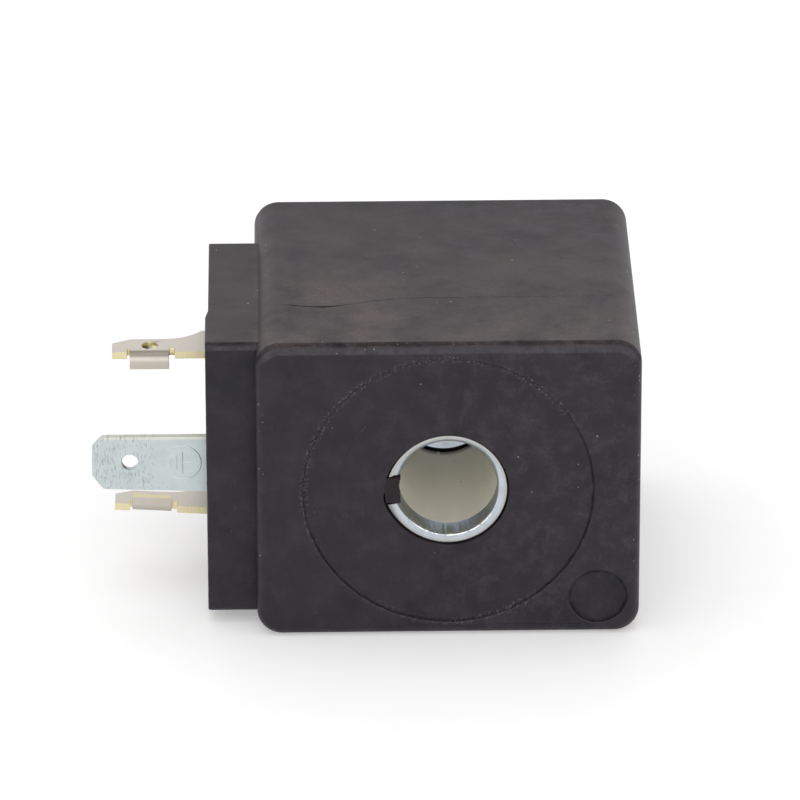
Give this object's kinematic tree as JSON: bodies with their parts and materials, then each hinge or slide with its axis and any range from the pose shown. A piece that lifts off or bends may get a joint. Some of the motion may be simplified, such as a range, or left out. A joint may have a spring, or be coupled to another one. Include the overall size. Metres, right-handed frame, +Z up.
{
  "type": "solenoid valve coil",
  "caption": "Moulded rectangular solenoid valve coil with a through bore for the armature tube and a side boss carrying spade blades for a screwed plug.",
  "frame": {"origin": "on the bore's axis, halfway between the block's front and rear faces", "axes": "+Y along the bore from the front face to the rear face, the connector boss on the -X side, +Z up"},
  "size_m": [0.0566, 0.038, 0.033],
  "materials": {
    "moulding": "fine matte glass-filled moulding",
    "bobbin_plastic": "satin moulding",
    "copper_wire": "enamelled wire",
    "tape": "polyester tape",
    "yoke_steel": "rolled strip",
    "zinc_steel": "bright zinc plate",
    "tinned_brass": "satin tin plate",
    "bare_brass": "turned",
    "solder": "satin"
  },
  "bodies": {
    "root": {"encapsulation": "moulding", "bobbin": "bobbin_plastic", "winding": "copper_wire", "winding_tape": "tape", "yoke_bracket": "yoke_steel", "yoke_closing_plate": "yoke_steel", "front_flux_bush": "zinc_steel", "rear_flux_bush": "zinc_steel", "upper_line_terminal": "tinned_brass", "lower_line_terminal": "tinned_brass", "earth_terminal": "zinc_steel", "earth_rivet": "yoke_steel", "connector_insert": "bare_brass", "start_lead": "copper_wire", "finish_lead": "copper_wire", "start_solder_joint": "solder", "finish_solder_joint": "solder"}
  },
  "joints": []
}
